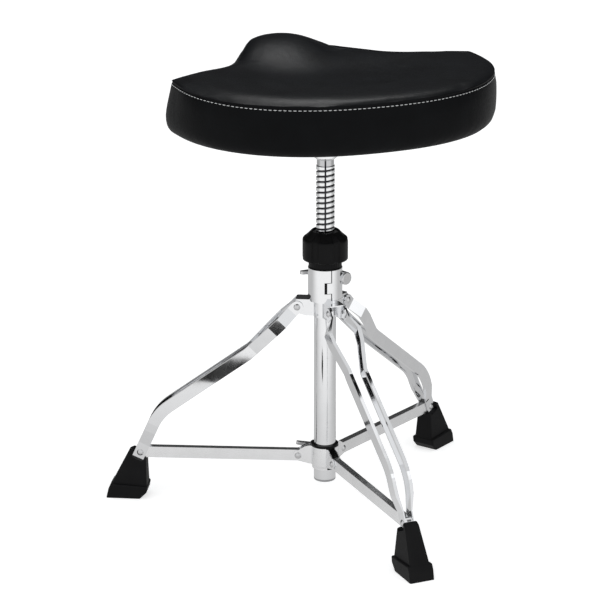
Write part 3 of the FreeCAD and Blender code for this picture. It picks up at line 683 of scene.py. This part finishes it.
# ---------------------------------------------------------------- knob
KNOB_TURN = 87.6
LOBE_STEP = 60.0
GROOVE_DEPTH = 2.6
NECK_RIBS = 36


def knob_mesh():
    """Six broad lobes with shallow grooves, a coned crown and a narrower neck with fine ribs."""
    profile = [(12.8, 330.5), (12.8, 324.95), (20.2, 324.95), (21.2, 325.6), (21.4, 327), (21.4, 333.4),
               (22.0, 334.3), (27.6, 334.3), (28.7, 334.7), (29.3, 335.6), (29.45, 337.4), (29.45, 345),
               (29.45, 353), (29.45, 359.2), (29.2, 361.2), (28.4, 362.7), (26.6, 364.2), (23.2, 367.2),
               (19.8, 370.6), (18.6, 372.0), (17.8, 372.7), (17.0, 372.2), (16.9, 366.0), (12.9, 365.0)]

    def radius_at(r, z, a):
        lobe = math.degrees(a) + KNOB_TURN
        off = abs((lobe + LOBE_STEP / 2) % LOBE_STEP - LOBE_STEP / 2)
        groove = smooth(19.5, 23.0, off)
        weight = smooth(22.2, 28.2, r)
        rib = 0.0
        if 326 < z < 334 and r > 20:
            rib = 0.35 * (0.5 + 0.5 * math.cos(NECK_RIBS * a))
        return (r - GROOVE_DEPTH * groove * weight - rib) * MM

    verts = []
    sectors = 360
    for r, z in profile:
        for i in range(sectors):
            a = 2 * math.pi * i / sectors
            rr = radius_at(r, z, a)
            verts.append((rr * math.cos(a), rr * math.sin(a), z * MM))
    faces = ring_faces(len(profile) + 1, sectors)
    last = len(profile) * sectors
    faces = [tuple(j % last for j in face) for face in faces]
    return make_object("knob_body", verts, faces, M["nylon"])


knob = knob_mesh()
fix_normals(knob)
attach(knob, "knob")
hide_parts("height_knob")


# ---------------------------------------------------------------- floor, light and camera
class Studio:
    """Node tree that looks plain and pale itself, and gives reflections bright and dark sides."""

    def __init__(self, tree):
        self.tree = tree
        for node in list(tree.nodes):
            tree.nodes.remove(node)
        coord = tree.nodes.new("ShaderNodeTexCoord")
        self.coord = coord.outputs["Generated" if tree == bpy.context.scene.world.node_tree else "Object"]
        self.seen = tree.nodes.new("ShaderNodeLightPath").outputs["Is Camera Ray"]

    def node(self, kind, inputs=None, **settings):
        node = self.tree.nodes.new(kind)
        for key, value in settings.items():
            setattr(node, key, value)
        for key, value in (inputs or {}).items():
            if isinstance(value, bpy.types.NodeSocket):
                self.tree.links.new(value, node.inputs[key])
            else:
                node.inputs[key].default_value = value
        return node

    def axes(self):
        return self.node("ShaderNodeSeparateXYZ", {"Vector": self.coord}).outputs

    def step(self, value, low, high, at_low, at_high):
        inputs = {"Value": value, "From Min": low, "From Max": high, "To Min": at_low, "To Max": at_high}
        return self.node("ShaderNodeMapRange", inputs, interpolation_type="SMOOTHSTEP").outputs["Result"]

    def op(self, operation, a, b):
        return self.node("ShaderNodeMath", {0: a, 1: b}, operation=operation).outputs["Value"]

    def box(self, axes, x0, x1, y0, y1, soft):
        """1 inside a rectangle of the floor and 0 outside it."""
        x, y = axes["X"], axes["Y"]
        inside = self.op("MULTIPLY", self.step(x, x0, x0 + soft, 0, 1), self.step(x, x1, x1 + soft, 1, 0))
        deep = self.op("MULTIPLY", self.step(y, y0, y0 + soft, 0, 1), self.step(y, y1, y1 + soft, 1, 0))
        return self.op("MULTIPLY", inside, deep)


def floor_material():
    """Pale diffuse floor; in reflections it is bright towards the front and grey at the sides and behind."""
    mat = bpy.data.materials.new("studio_floor")
    mat.use_nodes = True
    st = Studio(mat.node_tree)
    xyz = st.axes()
    front = st.step(xyz["Y"], -0.75, 0.25, 1.02, 0.56)
    # Dark card in the floor's glow that only reflections see: it puts a dark reflection on the near left leg
    # strip.
    card = st.box(xyz, AXIS.x - 0.33, AXIS.x - 0.19, AXIS.y - 0.565, AXIS.y - 0.455, 0.004)
    bright = st.op("MULTIPLY", front, st.op("SUBTRACT", 1.0, st.op("MULTIPLY", card, 0.97)))
    glow = st.node("ShaderNodeEmission", {"Color": (1, 1, 1, 1), "Strength": bright})
    pale = st.node("ShaderNodeBsdfDiffuse", {"Color": (0.80, 0.80, 0.80, 1)})
    lift = st.node("ShaderNodeEmission", {"Color": (1, 1, 1, 1), "Strength": 0.62})
    own = st.node("ShaderNodeAddShader", {0: pale.outputs[0], 1: lift.outputs[0]})
    both = st.node("ShaderNodeMixShader", {0: st.seen, 1: glow.outputs[0], 2: own.outputs[0]})
    out = st.node("ShaderNodeOutputMaterial")
    st.tree.links.new(both.outputs[0], out.inputs["Surface"])
    return mat


world = bpy.data.worlds.new("studio")
bpy.context.scene.world = world
world.use_nodes = True


def light_world():
    st = Studio(world.node_tree)
    xyz = st.axes()
    zenith = st.step(xyz["Z"], 0.50, 0.80, 0.0, 0.78)
    front = st.step(xyz["Y"], -0.55, 0.35, 0.90, 0.04)
    level = st.op("MAXIMUM", zenith, front)
    reflected = st.op("MULTIPLY", level, st.op("SUBTRACT", 1.0, st.seen))
    level = st.op("ADD", reflected, st.op("MULTIPLY", st.seen, 0.95))
    background = st.node("ShaderNodeBackground", {"Color": (0.98, 0.99, 1.0, 1), "Strength": level})
    out = st.node("ShaderNodeOutputWorld")
    st.tree.links.new(background.outputs[0], out.inputs["Surface"])


light_world()
corners = [(-30, -30, 0), (30, -30, 0), (30, 30, 0), (-30, 30, 0)]
ground = make_object("studio_ground", corners, [(0, 1, 2, 3)], floor_material(), smooth=False)
ground.location.z = -0.0005


def area_light(name, place, target, size, power, colour=(1, 1, 1)):
    data = bpy.data.lights.new(name, "AREA")
    data.shape = "RECTANGLE"
    data.size, data.size_y = size
    data.energy = power
    data.color = colour
    light = bpy.data.objects.new(name, data)
    light.location = place
    light.rotation_euler = (Vector(target) - Vector(place)).to_track_quat("-Z", "Y").to_euler()
    bpy.context.scene.collection.objects.link(light)
    return light


area_light("overhead", (0.1, -0.35, 2.4), (0, 0, 0.5), (2.2, 1.1), 2.2)
softbox = area_light("seat_softbox", (0.05, 0.35, 2.3), (0, 0, 0.58), (1.0, 1.2), 55)
lit = bpy.data.collections.new("softbox_receivers")
lit.objects.link(cover)
softbox.light_linking.receiver_collection = lit
area_light("left_panel", (-2.3, -0.9, 1.3), (0, 0, 0.4), (0.9, 1.5), 1.4)
area_light("right_panel", (2.3, -1.3, 1.5), (0, 0, 0.4), (0.7, 1.3), 1.0)

camera_data = bpy.data.cameras.new("camera")
camera = bpy.data.objects.new("camera", camera_data)
bpy.context.scene.collection.objects.link(camera)
camera.location = Vector((0.0, -3.400, 1.380)) + AXIS
camera.rotation_euler = (math.radians(71.946), 0.0, math.radians(0.436))
camera_data.sensor_width = 36.0
camera_data.lens = 163.95
camera_data.clip_end = 200.0
bpy.context.scene.camera = camera
bpy.context.scene.view_settings.view_transform = "Standard"
